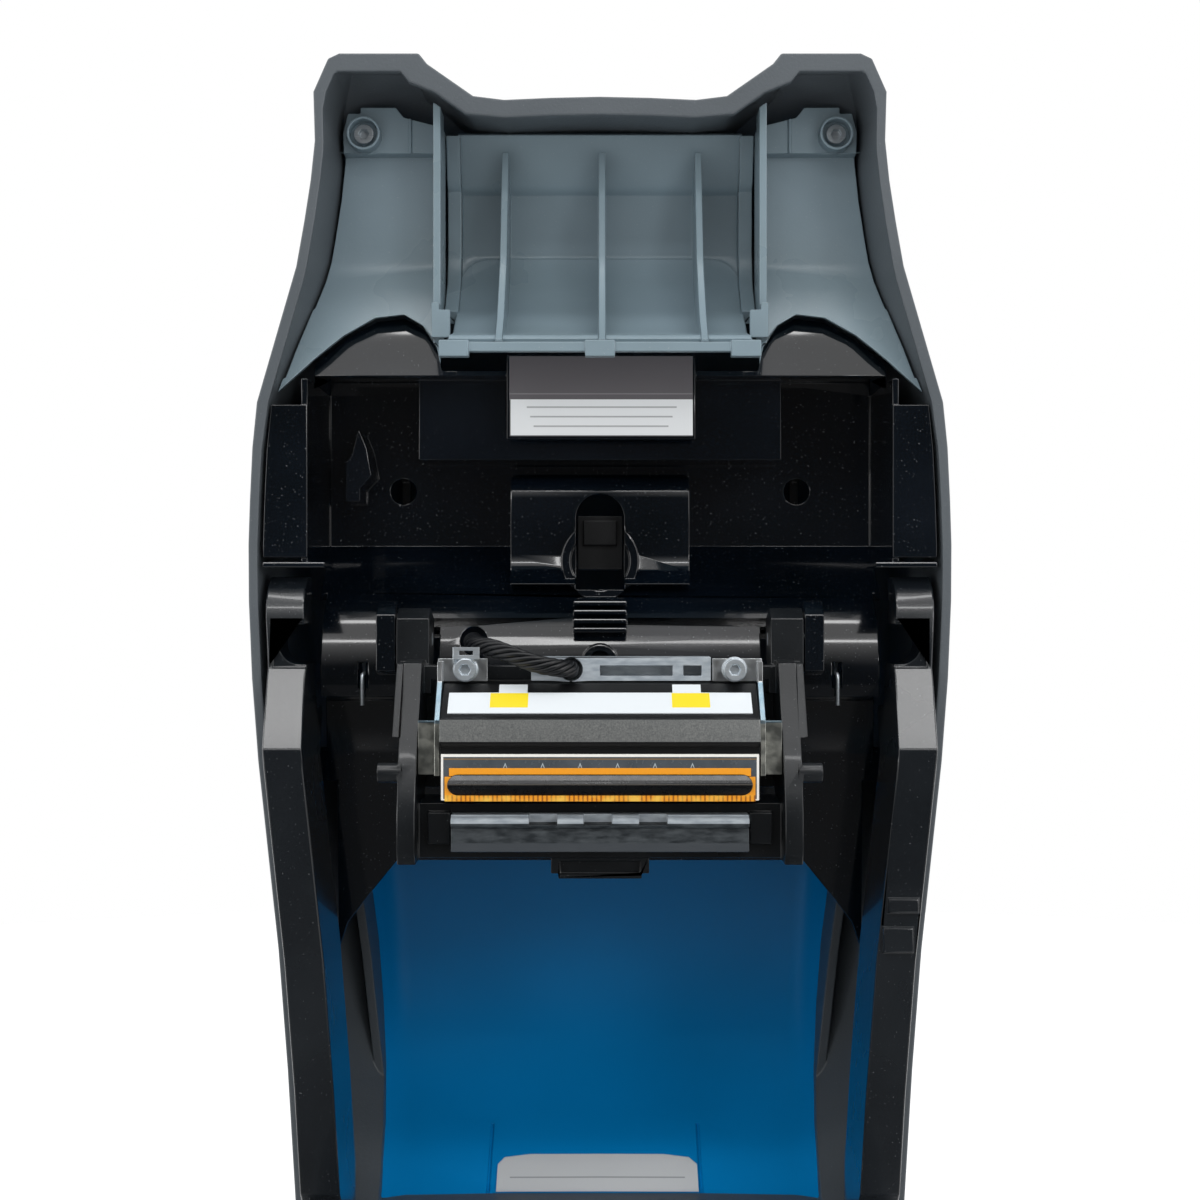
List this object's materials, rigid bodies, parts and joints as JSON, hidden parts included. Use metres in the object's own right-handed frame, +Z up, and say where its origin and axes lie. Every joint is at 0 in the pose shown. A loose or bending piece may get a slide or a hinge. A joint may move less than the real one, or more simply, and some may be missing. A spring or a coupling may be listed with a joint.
{
  "type": "id card printer",
  "caption": "Desktop id card printer with its hinged lid raised, showing the print head, ribbon bay, card chute and blue top panel, over a base with rollers, belt, hopper and latch.",
  "frame": {"origin": "on the table under the middle of the open printer", "axes": "X is the width, the front looks along -Y, Z is up"},
  "size_m": [0.2016, 0.4619, 0.481],
  "materials": {
    "charcoal": "fine moulded texture",
    "blue": "satin",
    "liner_grey": "satin, lightly scuffed",
    "bay_black": "glossy blue-black",
    "arm_black": "semi-gloss, fine texture",
    "zinc": "bright zinc",
    "label_white": "printed film",
    "sensor_black": "matt",
    "head_black": "glass filled, matt",
    "brushed": "brushed",
    "anodised": "dark anodised",
    "ceramic": "glazed",
    "amber": "polyimide film",
    "glaze": "dark glaze",
    "bar_grey": "satin",
    "cable_black": "soft sleeve",
    "pan_grey": "matt",
    "frame_steel": "galvanised",
    "inner_black": "matt",
    "board_green": "solder mask",
    "motor_steel": "plated can",
    "rubber_black": "matt",
    "gear_white": "acetal",
    "brass": "turned",
    "button_grey": "satin"
  },
  "bodies": {
    "base": {"base_pan": "pan_grey", "left_side_cover": "charcoal", "right_side_cover": "charcoal", "front_cover": "charcoal", "rear_cover": "charcoal", "left_frame": "frame_steel", "right_frame": "frame_steel", "side_decks": "inner_black", "card_hopper": "inner_black", "output_tray": "inner_black", "card_track": "inner_black", "main_board": "board_green", "rear_ports": "sensor_black", "fan_housing": "inner_black", "drive_motor": "motor_steel", "ribbon_motor": "motor_steel", "drive_belt": "rubber_black", "feet": "rubber_black", "hinge_pins": "zinc", "chassis_screws": "zinc"},
    "lid": {"lid_shell": "charcoal", "blue_top_panel": "blue", "front_liner": "liner_grey", "chute_tray": "liner_grey", "ribbon_bay_liner": "bay_black", "left_lid_arm": "arm_black", "right_lid_arm": "arm_black", "liner_screws": "zinc", "ribbon_label": "label_white", "ribbon_sensor": "sensor_black", "lid_label": "label_white", "carriage_springs": "zinc", "carriage_axle": "zinc"},
    "head": {"head_carriage": "head_black", "head_side_plates": "brushed", "head_heatsink": "anodised", "head_plate": "ceramic", "head_flex": "amber", "head_element": "glaze", "head_label": "label_white", "head_screws": "zinc", "head_connector": "bar_grey", "guide_bar": "bar_grey", "head_cable": "cable_black"},
    "platen": {"platen_roller": "rubber_black", "platen_gear": "gear_white"},
    "feed": {"feed_roller": "rubber_black", "feed_pulley": "gear_white"},
    "pick": {"pick_roller": "rubber_black", "pick_pulley": "gear_white"},
    "pinch": {"pinch_roller": "rubber_black"},
    "pinion": {"motor_pinion": "brass"},
    "takeup": {"takeup_spindle": "gear_white"},
    "supply": {"supply_spindle": "gear_white"},
    "fan": {"fan_rotor": "inner_black"},
    "door": {"feeder_door": "liner_grey"},
    "release": {"release_button": "button_grey"},
    "latch": {"latch_bar": "arm_black"},
    "control": {"control_button": "button_grey"},
    "rocker": {"power_rocker": "sensor_black"}
  },
  "joints": [
    {"name": "lid_hinge", "type": "hinge", "parent": "base", "child": "lid", "pos_m": [0, 0.1201, 0.13], "axis": [1, 0, 0], "range_deg": [0, 90]},
    {"name": "head_tilt", "type": "hinge", "parent": "lid", "child": "head", "pos_m": [0, 0.1261, 0.313], "axis": [1, 0, 0], "range_deg": [0, 4], "stiffness_Nm_per_rad": 1.5, "springref_deg": -20.05},
    {"name": "platen_spin", "type": "hinge", "parent": "base", "child": "platen", "pos_m": [0, -0.0269, 0.083], "axis": [1, 0, 0], "continuous": true},
    {"name": "feed_spin", "type": "hinge", "parent": "base", "child": "feed", "pos_m": [0, -0.1069, 0.083], "axis": [1, 0, 0], "continuous": true},
    {"name": "pick_spin", "type": "hinge", "parent": "base", "child": "pick", "pos_m": [0, -0.1519, 0.083], "axis": [1, 0, 0], "continuous": true},
    {"name": "pinch_spin", "type": "hinge", "parent": "base", "child": "pinch", "pos_m": [0, -0.1069, 0.0969], "axis": [1, 0, 0], "continuous": true},
    {"name": "pinion_spin", "type": "hinge", "parent": "base", "child": "pinion", "pos_m": [0, -0.01214, 0.06824], "axis": [1, 0, 0], "continuous": true},
    {"name": "takeup_spin", "type": "hinge", "parent": "base", "child": "takeup", "pos_m": [0, -0.1159, 0.118], "axis": [1, 0, 0], "continuous": true},
    {"name": "supply_spin", "type": "hinge", "parent": "base", "child": "supply", "pos_m": [0, 0.0421, 0.112], "axis": [1, 0, 0], "continuous": true},
    {"name": "fan_spin", "type": "hinge", "parent": "base", "child": "fan", "pos_m": [0.03, 0.1301, 0.084], "axis": [0, 1, 0], "continuous": true},
    {"name": "door_hinge", "type": "hinge", "parent": "base", "child": "door", "pos_m": [0, -0.2162, 0.0903], "axis": [1, 0, 0], "range_deg": [0, 80]},
    {"name": "latch_turn", "type": "hinge", "parent": "base", "child": "latch", "pos_m": [0, -0.0619, 0.083], "axis": [-1, 0, 0], "range_deg": [0, 3.4], "stiffness_Nm_per_rad": 0.8, "springref_deg": -11.46},
    {"name": "release_press", "type": "slide", "parent": "base", "child": "release", "axis": [0, 1, 0], "range_m": [0, 0.0019]},
    {"name": "control_press", "type": "slide", "parent": "base", "child": "control", "axis": [0, 1, 0], "range_m": [0, 0.0012], "stiffness_N_per_m": 300, "springref_m": -0.001},
    {"name": "power_rock", "type": "hinge", "parent": "base", "child": "rocker", "pos_m": [-0.036, 0.135, 0.062], "axis": [-1, 0, 0], "range_deg": [0, 10]}
  ],
  "couplings": [
    {"joint": "feed_spin", "follows": "platen_spin", "ratio": 1},
    {"joint": "pick_spin", "follows": "platen_spin", "ratio": 1},
    {"joint": "pinch_spin", "follows": "platen_spin", "ratio": -1.6},
    {"joint": "pinion_spin", "follows": "platen_spin", "ratio": -3.3333},
    {"joint": "release_press", "follows": "latch_turn", "m_per_rad": 0.032}
  ]
}
